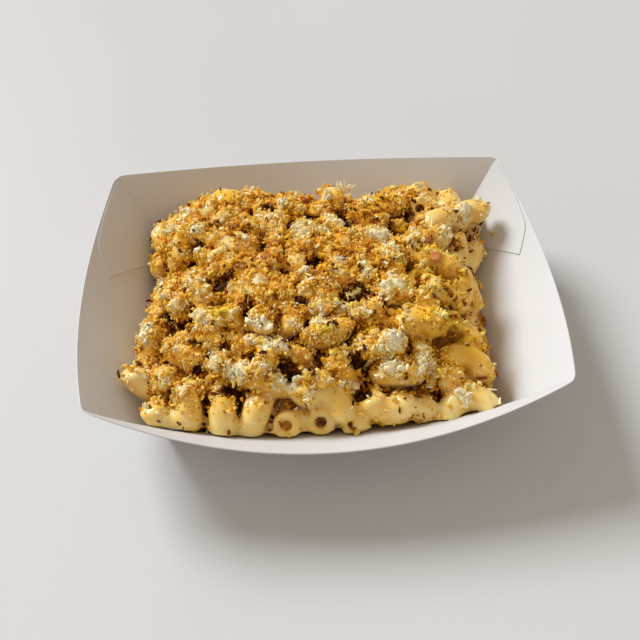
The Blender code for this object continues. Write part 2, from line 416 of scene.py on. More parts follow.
# Elbows along the edges of the heap, where each one shows: the middle of its bend in
# millimetres, its turn in degrees about X, Y and Z, its arc in degrees, and 1 if it is sealed
EDGE_ELBOWS = (
    (-61.8, -36.2, 19.3, -76, -4, 172, 155, 1),
    (-64, -17.7, 19.3, -7, -39, 66, 130, 1),
    (-55, -50.8, 18.2, -70, -6, 170, 130, 1),
    (-48.9, -50.3, 20.9, 99, -40, 72, 130, 1),
    (-36.9, -53.4, 20.2, 86, -41, 92, 155, 1),
    (-26.2, -53.1, 19.9, 107, -38, 60, 155, 1),
    (-13.5, -53.2, 15.7, 46, -152, 46, 75, 0),
    (-4.4, -51.6, 14.6, -46, -27, -54, 75, 0),
    (-0.1, -46.6, 24.1, 28, 16, -24, 175, 1),
    (10.3, -51.9, 17.1, 4, -34, 48, 105, 1),
    (20.2, -52.2, 18.9, -76, -2, 174, 130, 1),
    (48.3, -50.5, 18, 30, -7, 5, 175, 1),
    (51.1, -33.9, 22.1, 10, 10, -16, 155, 1),
    (48.5, -23.6, 25.3, -1, 13, -20, 130, 1),
    (34.5, -24.8, 33.4, -9, -3, 0, 130, 1),
    (44.9, 36.3, 31.7, 46, -152, 46, 75, 0),
    (47.2, 25.8, 33.1, 129, -13, 11, 130, 1),
    (63.2, 35.1, 29.2, 18, -16, 15, 130, 1),
    (62.2, 17.8, 17.1, 114, -34, 48, 130, 1),
    (44, 5.1, 32.3, -9, 4, -8, 130, 1),
    (53.5, -6.1, 25.9, 99, -40, 72, 130, 1),
    (26.9, 33.2, 36, 130, -6, 3, 130, 1),
    (8.2, 40.5, 34.5, 67, -106, -64, 105, 1),
    (-35.2, 42.5, 34, -53, -56, 31, 130, 1),
    (-39.9, 39.1, 34.7, 119, -30, 38, 130, 1),
    (-24.6, 45.7, 33, 21, 0, -4, 130, 1),
    (-13.3, 35.7, 36, 21, 4, -8, 130, 1),
    (-31.7, 16.1, 36.6, 130, 7, -12, 130, 1),
    (-51.7, 21.5, 28.4, 99, -40, 72, 130, 1),
    (-61.7, 36.4, 22.4, -36, -38, 111, 130, 1),
    (-49.2, 2.9, 27.8, 127, -19, 19, 130, 1),
    (-7.2, 6, 39.9, 95, -41, 79, 105, 1),
    (-58.5, -5.8, 22.3, 114, -34, 48, 130, 1),
    (24.5, -41.9, 26.2, 131, 0, -4, 130, 1),
)

heap_low, heap_high = (Vector(corner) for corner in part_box("macaroni_heap"))
heap_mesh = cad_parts["macaroni_heap"].data
heap_tree = BVHTree.FromPolygons(
    [vertex.co.copy() for vertex in heap_mesh.vertices],
    [tuple(face.vertices) for face in heap_mesh.polygons],
)


def elbow_line(arc, count):
    """Points and outward normals along a bent centreline in the XY plane, crown at the origin."""
    places = []
    for i in range(count):
        turn = math.radians(arc) * (i / (count - 1) - 0.5)
        normal = Vector((math.sin(turn), math.cos(turn), 0))
        places.append((normal * ELBOW_BEND - Vector((0, ELBOW_BEND, 0)), normal))
    return places


def make_elbow(arc, sealed):
    """One elbow: a bent tube, its cut ends rounded by the sauce, and open or sealed by it."""
    line = elbow_line(arc, 13)
    ends = []
    for (place, normal), way in ((line[0], -1), (line[-1], 1)):
        ahead = Vector((normal.y, -normal.x, 0)) * way
        ends.append((place + ahead * 0.7 * MM, normal))
    outside = [(place, normal, ELBOW_RADIUS) for place, normal in line]
    rounded = [(place, normal, ELBOW_RADIUS - 0.9 * MM) for place, normal in ends]
    hole = [(place, normal, ELBOW_HOLE) for place, normal in [ends[0], *line, ends[1]]]
    if sealed:
        hole = []
        for (place, normal), (foot, _) in zip(ends, (line[0], line[-1])):
            hole.append((place + (place - foot) * 1.8, normal, 0.02 * MM))
    rings = []
    for place, normal, radius in [rounded[0], *outside, rounded[1], *hole[::-1], rounded[0]]:
        turns = [math.tau * k / 20 for k in range(20)]
        up = Vector((0, 0, 1))
        rings.append([place + radius * (math.cos(t) * normal + math.sin(t) * up) for t in turns])
    bm = bmesh.new()
    add_sheet(bm, rings, closed=True)
    bmesh.ops.remove_doubles(bm, verts=bm.verts, dist=0.001 * MM)
    bmesh.ops.recalc_face_normals(bm, faces=bm.faces)
    mesh = bpy.data.meshes.new("elbow")
    bm.to_mesh(mesh)
    bm.free()
    return mesh


def loose_elbows(chance):
    """Random elbows scattered through the heap before it settles: place, turn and arc."""
    found = []
    while len(found) < LOOSE_ELBOWS:
        place = Vector([chance.uniform(low, high) for low, high in zip(heap_low, heap_high)])
        nearest, normal, _, _ = heap_tree.find_nearest(place)
        depth = (nearest - place).dot(normal)
        if ELBOW_RADIUS < depth < LOOSE_DEPTH and normal.z > 0:
            ranges = ((0, math.tau), (-0.6, 0.6), (0, math.tau))
            turn = Euler([chance.uniform(low, high) for low, high in ranges])
            found.append((place, turn, chance.choice(ELBOW_ARCS[1:])))
    return found


def push_apart(beads, owner, reach):
    """How far each bead is pushed by those of other elbows that it overlaps."""
    push = np.zeros_like(beads)
    count = np.zeros(len(beads))
    for start in range(0, len(beads), 400):
        rows = slice(start, start + 400)
        gap = beads[rows, None, :] - beads[None, :, :]
        distance = np.sqrt((gap**2).sum(2)) + 1e-9
        overlap = np.where(owner[rows, None] != owner[None, :], reach - distance, 0).clip(0)
        push[rows] = (gap * (overlap / distance)[..., None]).sum(1) * 0.5
        count[rows] = (overlap > 0).sum(1)
    return push / np.maximum(1, count)[:, None] * 1.3


def keep_inside(beads):
    """Moves beads back under the heap's outline and off the tray."""
    for i, bead in enumerate(beads):
        place = Vector(bead)
        nearest, normal, _, _ = heap_tree.find_nearest(place)
        keep = ELBOW_RADIUS - (0.9 * MM if normal.z > 0 else 0)
        depth = (nearest - place).dot(normal)
        if depth < keep:
            beads[i] += np.array(normal) * (depth - keep)


def settle(elbows, fixed):
    """Moves elbows as rigid pieces until they lie against each other. The first ones, which are
    fixed, give way only a little."""
    rest = [np.array([place for place, _ in elbow_line(arc, ELBOW_BEADS)]) for _, _, arc in elbows]
    rest = np.array(rest)
    centred = rest - rest.mean(1, keepdims=True)
    turns = np.array([np.array(turn.to_matrix()) for _, turn, _ in elbows])
    places = np.array([np.array(place) for place, _, _ in elbows])
    beads = np.einsum("nij,nkj->nki", turns, rest) + places[:, None, :]
    held = beads[:fixed].copy()
    owner = np.repeat(np.arange(len(elbows)), ELBOW_BEADS)
    for turn_number in range(SETTLE_STEPS):
        flat = beads.reshape(-1, 3)
        flat = flat + push_apart(flat, owner, 2 * ELBOW_RADIUS - 0.5 * MM)
        flat[:, 2] += 0.05 * MM
        if turn_number % 2 or turn_number > SETTLE_STEPS - 4:
            keep_inside(flat)
        moved = flat.reshape(beads.shape)
        moved[:fixed] = 0.25 * moved[:fixed] + 0.75 * held
        middle = moved.mean(1, keepdims=True)
        cross = np.einsum("nki,nkj->nij", moved - middle, centred)
        left, _, right = np.linalg.svd(cross)
        sign = np.sign(np.linalg.det(left @ right))
        left[:, :, 2] *= sign[:, None]
        turns = left @ right
        beads = np.einsum("nij,nkj->nki", turns, centred) + middle
    places = beads.mean(1) - np.einsum("nij,nj->ni", turns, rest.mean(1))
    return places, turns, beads


def new_growth(name, numbers=()):
    """A geometry node tree with its input numbers named, and a Wire for each of its inputs."""
    tree = bpy.data.node_groups.new(name, "GeometryNodeTree")
    for way in ("INPUT", "OUTPUT"):
        tree.interface.new_socket("Geometry", in_out=way, socket_type="NodeSocketGeometry")
    for number in numbers:
        tree.interface.new_socket(number, in_out="INPUT", socket_type="NodeSocketFloat")
    group = tree.nodes.new("NodeGroupInput")
    return tree, {socket.name: Wire(tree, socket) for socket in group.outputs if socket.name}


def kinds_of(name, meshes):
    """A collection holding one object for each kind of a repeated shape."""
    kinds = bpy.data.collections.new(name)
    for i, mesh in enumerate(meshes):
        kinds.objects.link(bpy.data.objects.new(f"{name} {i:02}", mesh))
    return kinds


def grow(tree, instances, base, numbers, material):
    """Ends a tree that makes instances, runs it on a base mesh and returns the plain mesh."""
    whole = Wire(tree).node("GeometryNodeRealizeInstances", None, {"Geometry": instances})
    whole = whole.node("GeometryNodeSetMaterial", None, {"Geometry": whole, "Material": material})
    tree.links.new(whole.socket, tree.nodes.new("NodeGroupOutput").inputs["Geometry"])
    holder = bpy.data.objects.new(tree.name, base)
    bpy.context.scene.collection.objects.link(holder)
    growth = holder.modifiers.new("growth", "NODES")
    growth.node_group = tree
    for socket in tree.interface.items_tree:
        if socket.in_out == "INPUT" and socket.name in numbers:
            growth[socket.identifier] = float(numbers[socket.name])
    bpy.context.view_layer.update()
    shape = holder.evaluated_get(bpy.context.evaluated_depsgraph_get())
    mesh = bpy.data.meshes.new_from_object(shape)
    bpy.data.objects.remove(holder)
    return mesh


def points_mesh(places, numbers):
    """A mesh of loose points carrying named values."""
    mesh = bpy.data.meshes.new("points")
    mesh.from_pydata([tuple(place) for place in places], [], [])
    for name, (kind, values) in numbers.items():
        field = "vector" if kind == "FLOAT_VECTOR" else "value"
        flat = np.asarray(values, dtype=int if kind == "INT" else float).ravel()
        mesh.attributes.new(name, kind, "POINT").data.foreach_set(field, flat)
    return mesh


def lay_elbows(arcs, sealed, places, turns, sauce):
    """All the settled elbows as one mesh."""
    tree, inputs = new_growth("lay elbows", ["Size"])
    wire = Wire(tree)
    shapes = [make_elbow(arc, sealed) for sealed in (False, True) for arc in ELBOW_ARCS]
    kinds = kinds_of("elbow", shapes)
    choice = {"Collection": kinds, "Separate Children": True, "Reset Children": True}
    kind = wire.node("GeometryNodeInputNamedAttribute", {"data_type": "INT"}, {"Name": "kind"})
    turn = wire.node("GeometryNodeInputNamedAttribute", {"data_type": "FLOAT_VECTOR"}, {"Name": "turn"})
    laid = wire.node("GeometryNodeInstanceOnPoints", None, {
        "Points": inputs["Geometry"],
        "Instance": wire.node("GeometryNodeCollectionInfo", None, choice),
        "Pick Instance": True,
        "Instance Index": kind,
        "Rotation": turn,
        "Scale": inputs["Size"],
    })
    eulers = [Matrix(turn.tolist()).to_euler() for turn in turns]
    picks = [ELBOW_ARCS.index(arc) + len(ELBOW_ARCS) * shut for arc, shut in zip(arcs, sealed)]
    base = points_mesh(places, {
        "kind": ("INT", picks),
        "turn": ("FLOAT_VECTOR", [tuple(euler) for euler in eulers]),
    })
    return grow(tree, laid, base, {"Size": 1.0}, sauce)


def add_core(bm):
    """The plain sauce-bound middle, under the elbows and just clear of the tray."""
    middle = (heap_low + heap_high) / 2
    core = bmesh.new()
    core.from_mesh(heap_mesh)
    bmesh.ops.remove_doubles(core, verts=core.verts, dist=0.01 * MM)
    core.normal_update()
    index = {}
    for vertex in core.verts:
        place = vertex.co.copy()
        up = max(0.0, vertex.normal.z)
        place.x = middle.x + (place.x - middle.x) * CORE_SHARE
        place.y = middle.y + (place.y - middle.y) * CORE_SHARE
        place.z -= CORE_DROP * up
        index[vertex] = bm.verts.new((place.x, place.y, max(place.z, CORE_CLEARANCE)))
    for face in core.faces:
        bm.faces.new([index[vertex] for vertex in face.verts])
    core.free()


def melt_together(mesh, grain, smoothing):
    """One closed skin over overlapping closed shapes, with soft fillets where they meet."""
    holder = bpy.data.objects.new("melt", mesh)
    bpy.context.scene.collection.objects.link(holder)
    skin = holder.modifiers.new("skin", "REMESH")
    skin.mode = "VOXEL"
    skin.voxel_size = grain
    soft = holder.modifiers.new("soft", "SMOOTH")
    soft.factor = 0.5
    soft.iterations = smoothing
    bpy.context.view_layer.update()
    shape = holder.evaluated_get(bpy.context.evaluated_depsgraph_get())
    melted = bpy.data.meshes.new_from_object(shape)
    bpy.data.objects.remove(holder)
    return melted


def baked_colour(wire, tone):
    """The colour of baked bread and cheese, from charred at a tone of 0 to cream at 1, and
    yellower where the "rich" attribute says that cheese has soaked in."""
    dark = ((0, (0.04, 0.009, 0.002)), (0.14, (0.13, 0.028, 0.002)), (0.3, (0.46, 0.14, 0.005)))
    pale = ((0.45, (0.88, 0.44, 0.02)), (0.6, (0.97, 0.57, 0.085)), (0.78, (1, 0.70, 0.22)))
    stops = (*dark, *pale, (1, (1, 0.89, 0.62)))
    plain = wire.node("ShaderNodeValToRGB", None, {"Fac": tone}, stops=stops)
    soaked = tone.ramp(0.05, 0.95).mix((0.48, 0.18, 0.003), (1, 0.66, 0.035))
    return (wire.attribute("rich") * 0.85).mix(plain, soaked)


def make_sauce():
    """Pale cheese sauce over pasta, a deeper yellow in places and soaked brown under the crumbs,
    where the brown is also painted shade in the gaps between them. Painted shade darkens it in the
    hollows.
    """
    sauce, shader, wire = new_finish(
        "cheese sauce",
        Coat_Roughness=0.07,
        Specular_IOR_Level=0.3,
        Subsurface_Weight=0.5,
        Subsurface_Radius=(1.0, 0.62, 0.18),
        Subsurface_Scale=3 * MM,
        IOR=1.42,
    )
    creamy = wire.noise(6 * MM, detail=3).ramp(0.35, 0.65)
    colour = creamy.mix((0.97, 0.60, 0.12), (1, 0.74, 0.28))
    thick = wire.noise(22 * MM, detail=2).ramp(0.5, 0.62) * 0.4
    colour = thick.mix(colour, (0.96, 0.59, 0.07))
    colour = (wire.attribute("rich") * 0.9).mix(colour, (0.97, 0.52, 0.015))
    # Under the crumbs the sauce takes the crust's colour a little browner: soaked with crumbs, and
    # painted shade in the gaps between them
    under = wire.attribute("cover").ramp(0.2, 0.8) * wire.noise(2.5 * MM, detail=4).ramp(0.25, 0.5)
    baked = baked_colour(wire, wire.attribute("tone") - 0.14 + 0.3 * (wire.noise(2 * MM) - 0.5))
    colour = under.mix(colour, baked)
    # Painted shade: the covered sauce turns dark brown in the deep hollows between elbows
    shade = wire.attribute("hollow").ramp(0.3, 1.0) * wire.attribute("cover").ramp(0.1, 0.5) * 0.8
    colour = shade.mix(colour, (0.26, 0.09, 0.006))
    wire.link(shader.inputs["Base Color"], colour)
    wire.link(shader.inputs["Roughness"], 0.28 + 0.25 * wire.noise(3 * MM) + 0.25 * under)
    wire.link(shader.inputs["Coat Weight"], 0.7 - 0.6 * under)
    wire.link(shader.inputs["Normal"], wire.noise(2.2 * MM, detail=4).bump(0.25 * MM, 0.35))
    return sauce


def make_macaroni():
    chance = random.Random(7)
    edge = []
    for x, y, z, about_x, about_y, about_z, arc, _ in EDGE_ELBOWS:
        turn = Euler([math.radians(angle) for angle in (about_x, about_y, about_z)])
        edge.append((Vector((x, y, z)) * MM + Vector((TRAY_MIDDLE.x, TRAY_MIDDLE.y, 0)), turn, arc))
    elbows = edge + loose_elbows(chance)
    sealed = [row[-1] for row in EDGE_ELBOWS]
    for place, _, _ in elbows[len(edge) :]:
        in_front = place.y < heap_low.y + FRONT_ROWS
        sealed.append(int(chance.random() < SEALED_SHARE or in_front))
    places, turns, beads = settle(elbows, len(edge))
    shown = []
    for i in range(len(elbows)):
        _, normal, _, distance = heap_tree.find_nearest(Vector(beads[i].mean(0)))
        if distance < SHOWN_DEPTH and (normal.z > 0.05 or i < len(edge)):
            shown.append(i)
    sauce = make_sauce()
    arcs = [elbows[i][2] for i in shown]
    laid = lay_elbows(arcs, [sealed[i] for i in shown], places[shown], turns[shown], sauce)
    bm = bmesh.new()
    bm.from_mesh(laid)
    add_core(bm)
    together = bpy.data.meshes.new("together")
    bm.to_mesh(together)
    bm.free()
    mesh = melt_together(together, SAUCE_GRAIN, 6)
    return mesh, sauce, beads


def largest_part(mesh):
    """Drops the closed pockets that lie sealed inside a melted skin."""
    bm = bmesh.new()
    bm.from_mesh(mesh)
    unseen = set(bm.verts)
    best = set()
    while unseen:
        reached = {unseen.pop()}
        front = list(reached)
        while front:
            for edge in front.pop().link_edges:
                for vertex in edge.verts:
                    if vertex in unseen:
                        unseen.discard(vertex)
                        reached.add(vertex)
                        front.append(vertex)
        best = max(best, reached, key=len)
    bmesh.ops.delete(bm, geom=[vertex for vertex in bm.verts if vertex not in best], context="VERTS")
    bm.to_mesh(mesh)
    bm.free()


def thin_unseen(mesh, unseen, limit):
    """Thins the triangles where unseen is 1, until the mesh is under a limit of them."""
    holder = bpy.data.objects.new("thin", mesh)
    bpy.context.scene.collection.objects.link(holder)
    group = holder.vertex_groups.new(name="unseen")
    for share in (0, 1):
        group.add([int(i) for i in np.flatnonzero(unseen == share)], float(share) or 0.02, "REPLACE")
    corners = sum(len(face.vertices) - 2 for face in mesh.polygons)
    thin = holder.modifiers.new("thin", "DECIMATE")
    thin.ratio = min(1.0, limit / corners)
    thin.vertex_group = "unseen"
    bpy.context.view_layer.update()
    shape = holder.evaluated_get(bpy.context.evaluated_depsgraph_get())
    thinned = bpy.data.meshes.new_from_object(shape)
    bpy.data.objects.remove(holder)
    return thinned


def vertex_places(mesh):
    flat = np.zeros(len(mesh.vertices) * 3)
    mesh.vertices.foreach_get("co", flat)
    return flat.reshape(-1, 3)


def depth_in_heap(mesh):
    """How deep each vertex lies under the heap's outline."""
    found = np.zeros(len(mesh.vertices))
    for i, vertex in enumerate(mesh.vertices):
        nearest, normal, _, _ = heap_tree.find_nearest(vertex.co)
        found[i] = (nearest - vertex.co).dot(normal)
    return found


def press_flat(mesh):
    """Flattens what would press into the tray against its walls and floor."""
    for vertex in mesh.vertices:
        nearest, normal, _, _ = heap_tree.find_nearest(vertex.co)
        if normal.z < 0.1 and (vertex.co - nearest).dot(normal) > 0:
            vertex.co = nearest


macaroni_mesh, cheese_sauce, elbow_beads = make_macaroni()
largest_part(macaroni_mesh)
deep = depth_in_heap(macaroni_mesh) > UNSEEN_DEPTH
unseen = deep | (vertex_places(macaroni_mesh)[:, 2] < UNSEEN_HEIGHT)
macaroni_mesh = thin_unseen(macaroni_mesh, unseen, MOST_TRIANGLES)
press_flat(macaroni_mesh)


# ---------------------------------------------------------------------------------------------
# Crumb crust. Coarse dry breadcrumbs baked over the top with cheese. Part of them have stuck
# together into pale crusty clumps; the rest lie loose, cream where they are fresh and golden to
# brown where the oven caught them. Their tone also holds painted shade, browner in the hollows and
# on the sides, and painted light, paler on the tops.

# Where the crust differs on the heap: the middle of a spot in plan and its reach, in millimetres
PALE_SPOTS = (
    (-16, -33, 5.4), (-31, -41, 4.3), (-23, -29, 4.3), (-15, -47, 5), (22, -45, 5), (34, -42, 4.7),
    (5, -19, 5.4), (26, -12, 5.8), (23, 15, 4.7), (27, 5, 4), (9, 0, 3.6), (7, 24, 4), (24, -34, 4.3),
    (34, -38, 4.3), (54, -17, 2.5), (46, -19, 3.2), (42, -13, 2.9), (-61, 15, 3.6), (-47, 1, 3.6),
    (-46, 24, 2.9), (-52, 37, 3.2), (-22, -6, 3.2), (-58, -2, 3.2), (-65, -16, 3.6), (0, -29, 2.9),
    (-6, 18, 4.3), (-38, -34, 3.2), (-51, -46, 2.5), (46, -52, 3.2), (52, 18, 3.6), (61, 32, 3.4),
)
TOASTED_SPOTS = (
    (-1, 3, 4), (-36, -4, 5.4), (11, -40, 3.2), (-13, -41, 3.6), (-34, -45, 3.6), (-17, 34, 3.2),
    (10, 27, 3.2), (-39, 25, 3), (-51, -17, 3.6), (13, -14, 5), (37, -11, 2.8), (12, -48, 2.8),
    (46, -13, 2.2), (55, 16, 2.2), (42, 24, 1.8), (-45, -37, 2.5), (-65, -3, 1.8), (-42, -48, 2.2),
    (38, -48, 2.2), (-26, -17, 2.8), (-8, -18, 2.8),
)
RICH_SPOTS = (
    (-35, 45, 7), (9, -3, 1.8), (0, -30, 2.2), (14, -28, 3.6), (36, -26, 5), (52, -33, 6),
    (56, -23, 5), (56, -3, 5), (34, -4, 4.3), (35, 20, 3.2), (-37, -18, 4.3), (-10, 12, 2.9),
    (-29, -1, 2.2), (27, 35, 3.2), (-46, 10, 2.5),
)
BARE_SPOTS = (
    (-34, 15, 4), (-8, 3, 2.8), (-53, 20, 2.6), (-50, 1, 2.5), (-64, 37, 5), (36, -26, 6),
    (34, -4, 3.8), (64, 16, 6), (59, 0, 6.5), (55, -24, 6), (51, -36, 6), (48, 25, 4.6),
    (43, 33, 2.9), (65, 35, 3), (25, -45, 1.8), (-65, -38, 3.2), (-25, 45, 3), (0, -51, 4.3),
    (-35, 44, 6), (-42, 36, 2.4), (8, 42, 2.4), (29, 38, 3), (-15, 36, 2), (45, 6, 2.6),
)
LOOSE_CLUMPS = 60
CLUMP_REACH = (2 * MM, 4.4 * MM)
CLUMP_GRAIN = 0.55 * MM
LOW_CORNER = ((-59, 46, 12), 6 * MM)  # the heap falls away at its left-hand back corner
LID = (36 * MM, 41.5 * MM)  # above the first height the heap is rounded off, up to the second
SUNKEN = 4.4 * MM  # how far the crust has sunk between the elbows at the toasted spots
CRUMB_KINDS = 12
KNOBS, FINE_KNOBS = (4.5 * MM, 0.45 * MM), (2 * MM, 0.3 * MM)  # of baked sauce: width and height
RELIEF_GRID = 0.8 * MM  # the relief of the heap is taken on a grid this fine
RELIEF_REACH = 6  # grid steps round a point over which its surroundings' height is averaged
RELIEF_MARGIN = 6 * MM  # how far it goes past the heap
RELIEF_FLOOR = 12 * MM  # the lowest height that it counts
HOLLOW_DEPTH = 3.6 * MM  # below its surroundings, at which a place counts as a deep hollow
PLAIN_TONE = 0.53  # of the crust, where nothing has made it paler or browner
# How far the tone goes up at the pale spots and down at the toasted ones; painted shade takes it down
# in deep hollows and on steep or downward-facing sides, and painted light takes it up on tops
PALER_SPOTS, BROWNER_SPOTS, SHADE_IN_HOLLOWS, SHADE_ON_SIDES = 0.26, 0.56, 0.46, 0.2
LIGHT_ON_TOPS, TOP_HEIGHT = 0.14, 2 * MM  # for what stands this far out of its surroundings
TONE_SWELLS = ((0.18, 6 * MM, 5), (0.12, 16 * MM, 6))  # how strong, how wide, and a seed
RICH_SIDE = 0.75  # how much cheese has soaked in along the right-hand side


def step(value, low, high):
    """0 below low and 1 above high, smoothly."""
    share = np.clip((np.asarray(value, dtype=float) - low) / (high - low), 0, 1)
    return share * share * (3 - 2 * share)


def cloud(places, size, seed):
    """A smooth random swell over the places, mostly between -1 and 1, in billows of one size."""
    chance = random.Random(seed)
    total = np.zeros(len(places))
    for _ in range(14):
        way = Vector([chance.gauss(0, 1) for _ in range(3)]).normalized()
        wave = size * chance.uniform(0.8, 1.7)
        total += np.sin(places @ np.array(way) * math.tau / wave + chance.uniform(0, math.tau))
    return total / 5.3


def spot_share(places, spots):
    """1 inside the spots and 0 away from them, with ragged edges."""
    stray = 1.1 * MM * np.stack([cloud(places, 5 * MM, 1), cloud(places, 5 * MM, 2)], 1)
    share = np.zeros(len(places))
    for x, y, reach in spots:
        away = np.hypot(*(places[:, :2] + stray - np.array([x, y]) * MM).T)
        share = np.maximum(share, step(reach * MM - away, -0.3 * reach * MM, 0.4 * reach * MM))
    return share


def crumb_cover(places):
    """How thickly the crumbs were strewn over each place: full in the middle of the heap, thin
    along its front and its right-hand end."""
    middle = (heap_low + heap_high) / 2
    across = (places[:, 0] - middle.x) / (heap_high.x - heap_low.x) * 2
    along = (places[:, 1] - middle.y) / (heap_high.y - heap_low.y) * 2
    front = step(along, -0.89, -0.68)
    right = 1 - 0.75 * step(across, 0.42, 0.72)
    left = 1 - 0.6 * step(-across, 0.8, 0.98)
    back = 1 - 0.6 * step(along, 0.6, 0.85)
    cover = (0.04 + 0.96 * front) * right * left * back
    return cover * (1 - 0.93 * spot_share(places, BARE_SPOTS))


def drop_onto(tree, x, y):
    """Where something dropped at a point in plan comes to lie, and the surface's normal there."""
    place, normal, _, _ = tree.ray_cast(Vector((x, y, 0.2)), Vector((0, 0, -1)))
    return place, normal


def surface_tree(mesh):
    faces = [tuple(face.vertices) for face in mesh.polygons]
    return BVHTree.FromPolygons([vertex.co.copy() for vertex in mesh.vertices], faces)


def vertex_normals(mesh):
    flat = np.zeros(len(mesh.vertices) * 3)
    mesh.vertex_normals.foreach_get("vector", flat)
    return flat.reshape(-1, 3)


def carry(mesh, name, values):
    """Stores one value for each vertex of a mesh."""
    mesh.attributes.new(name, "FLOAT", "POINT").data.foreach_set("value", values)


def under_lid(heights, knee, lid):
    """Heights rounded off above the knee, so that none of them passes the lid."""
    over = np.maximum(heights - knee, 0)
    return np.minimum(heights, knee) + (lid - knee) * (1 - np.exp(-over / (lid - knee)))


def bake_macaroni():
    """Makes the covered part of the macaroni knobbly, and lets it sink at the toasted spots."""
    places, normals = vertex_places(macaroni_mesh), vertex_normals(macaroni_mesh)
    cover = crumb_cover(places) * step(normals[:, 2], -0.1, 0.45)
    carry(macaroni_mesh, "cover", cover)
    knobs = KNOBS[1] * cloud(places, KNOBS[0], 3) + FINE_KNOBS[1] * cloud(places, FINE_KNOBS[0], 4)
    moved = places + normals * (cover * knobs)[:, None]
    sunk = spot_share(places, TOASTED_SPOTS) * step(normals[:, 2], -0.2, 0.3)
    corner, fall = LOW_CORNER
    low = fall * spot_share(places, [corner]) * step(places[:, 2], 18 * MM, 34 * MM)
    moved[:, 2] -= SUNKEN * sunk * step(places[:, 2], 12 * MM, 20 * MM) + low
    moved[:, 2] = under_lid(moved[:, 2], *LID)
    macaroni_mesh.vertices.foreach_set("co", moved.ravel())
    macaroni_mesh.update()


def relief(trees):
    """The height of the surroundings at each place of a grid over the heap."""
    across = np.arange(heap_low.x - RELIEF_MARGIN, heap_high.x + RELIEF_MARGIN, RELIEF_GRID)
    along = np.arange(heap_low.y - RELIEF_MARGIN, heap_high.y + RELIEF_MARGIN, RELIEF_GRID)
    heights = np.full((len(across), len(along)), RELIEF_FLOOR)
    for i, x in enumerate(across):
        for j, y in enumerate(along):
            for tree in trees:
                place, _ = drop_onto(tree, x, y)
                if place is not None:
                    heights[i, j] = max(heights[i, j], place.z)
    wide = np.pad(heights, RELIEF_REACH, mode="edge")
    total = np.zeros_like(heights)
    span = 2 * RELIEF_REACH + 1
    for i in range(span):
        for j in range(span):
            total += wide[i : i + heights.shape[0], j : j + heights.shape[1]]
    return across[0], along[0], total / span**2


def bake_and_shade(mesh, surroundings, lighter):
    """Stores each vertex's tone, from charred at 0 to cream at 1: how baked it is, with painted
    shade in the hollows and on the sides and painted light on the tops. Also stores how rich in
    cheese it is, and how deep below its surroundings it lies, which the sauce uses for painted shade."""
    places = vertex_places(mesh)
    start_x, start_y, mean = surroundings
    i = ((places[:, 0] - start_x) / RELIEF_GRID).astype(int).clip(0, mean.shape[0] - 1)
    j = ((places[:, 1] - start_y) / RELIEF_GRID).astype(int).clip(0, mean.shape[1] - 1)
    sunk = mean[i, j] - places[:, 2]
    hollow = step(sunk, 0.4 * MM, HOLLOW_DEPTH)
    toasted = spot_share(places, TOASTED_SPOTS)
    tone = PLAIN_TONE + lighter + PALER_SPOTS * spot_share(places, PALE_SPOTS)
    # Browner at the toasted spots, and painted shade in the deep hollows
    tone -= BROWNER_SPOTS * toasted + SHADE_IN_HOLLOWS * hollow
    for strength, width, seed in TONE_SWELLS:
        tone += strength * cloud(places, width, seed)
    # Painted light on what stands out of its surroundings, painted shade on steep and downward-facing
    # sides
    tone += LIGHT_ON_TOPS * np.clip(-sunk / TOP_HEIGHT, 0, 1)
    tone -= SHADE_ON_SIDES * (1 - step(vertex_normals(mesh)[:, 2], -0.1, 0.85))
    carry(mesh, "tone", tone.clip(0, 1))
    carry(mesh, "hollow", hollow)
    side = step(places[:, 0], 26 * MM, 44 * MM) * step(-places[:, 1], -14 * MM, 2 * MM)
    side *= step(places[:, 1], -46 * MM, -36 * MM)
    carry(mesh, "rich", np.maximum(spot_share(places, RICH_SPOTS), RICH_SIDE * side))


def clump_balls():
    """The balls that the clumps are made of: clumps at the pale spots and others between them."""
    chance = random.Random(31)
    middles = [(x * MM, y * MM, reach * 0.85 * MM) for x, y, reach in PALE_SPOTS]
    while len(middles) < len(PALE_SPOTS) + LOOSE_CLUMPS:
        x = chance.uniform(heap_low.x, heap_high.x)
        y = chance.uniform(heap_low.y, heap_high.y)
        at = np.array([[x, y, 0]])
        thick = crumb_cover(at)[0] * (1 - spot_share(at, TOASTED_SPOTS)[0])
        if chance.random() < thick:
            middles.append((x, y, chance.uniform(*CLUMP_REACH)))
    balls, sizes = [], []
    for x, y, reach in middles:
        place, _ = drop_onto(macaroni_tree, x, y)
        if place is None:
            continue
        lie, narrow = chance.uniform(0, math.tau), chance.uniform(0.5, 1)
        for _ in range(int(6 + reach / MM * 8)):
            turn, off = chance.uniform(0, math.tau), reach * math.sqrt(chance.random())
            lift = 0.62 * math.sqrt(max(0.0, reach**2 - off**2)) * chance.random()
            long, wide = 1.25 * off * math.cos(turn), narrow * off * math.sin(turn)
            ground, _ = drop_onto(
                macaroni_tree,
                x + long * math.cos(lie) - wide * math.sin(lie),
                y + long * math.sin(lie) + wide * math.cos(lie),
            )
            if ground is None or abs(ground.z - place.z) > 4 * MM:
                continue
            height = under_lid(ground.z + lift, LID[0], LID[1] + 1 * MM)
            balls.append((ground.x, ground.y, height))
            sizes.append(chance.uniform(0.55, 1.35) * MM)
    return balls, sizes


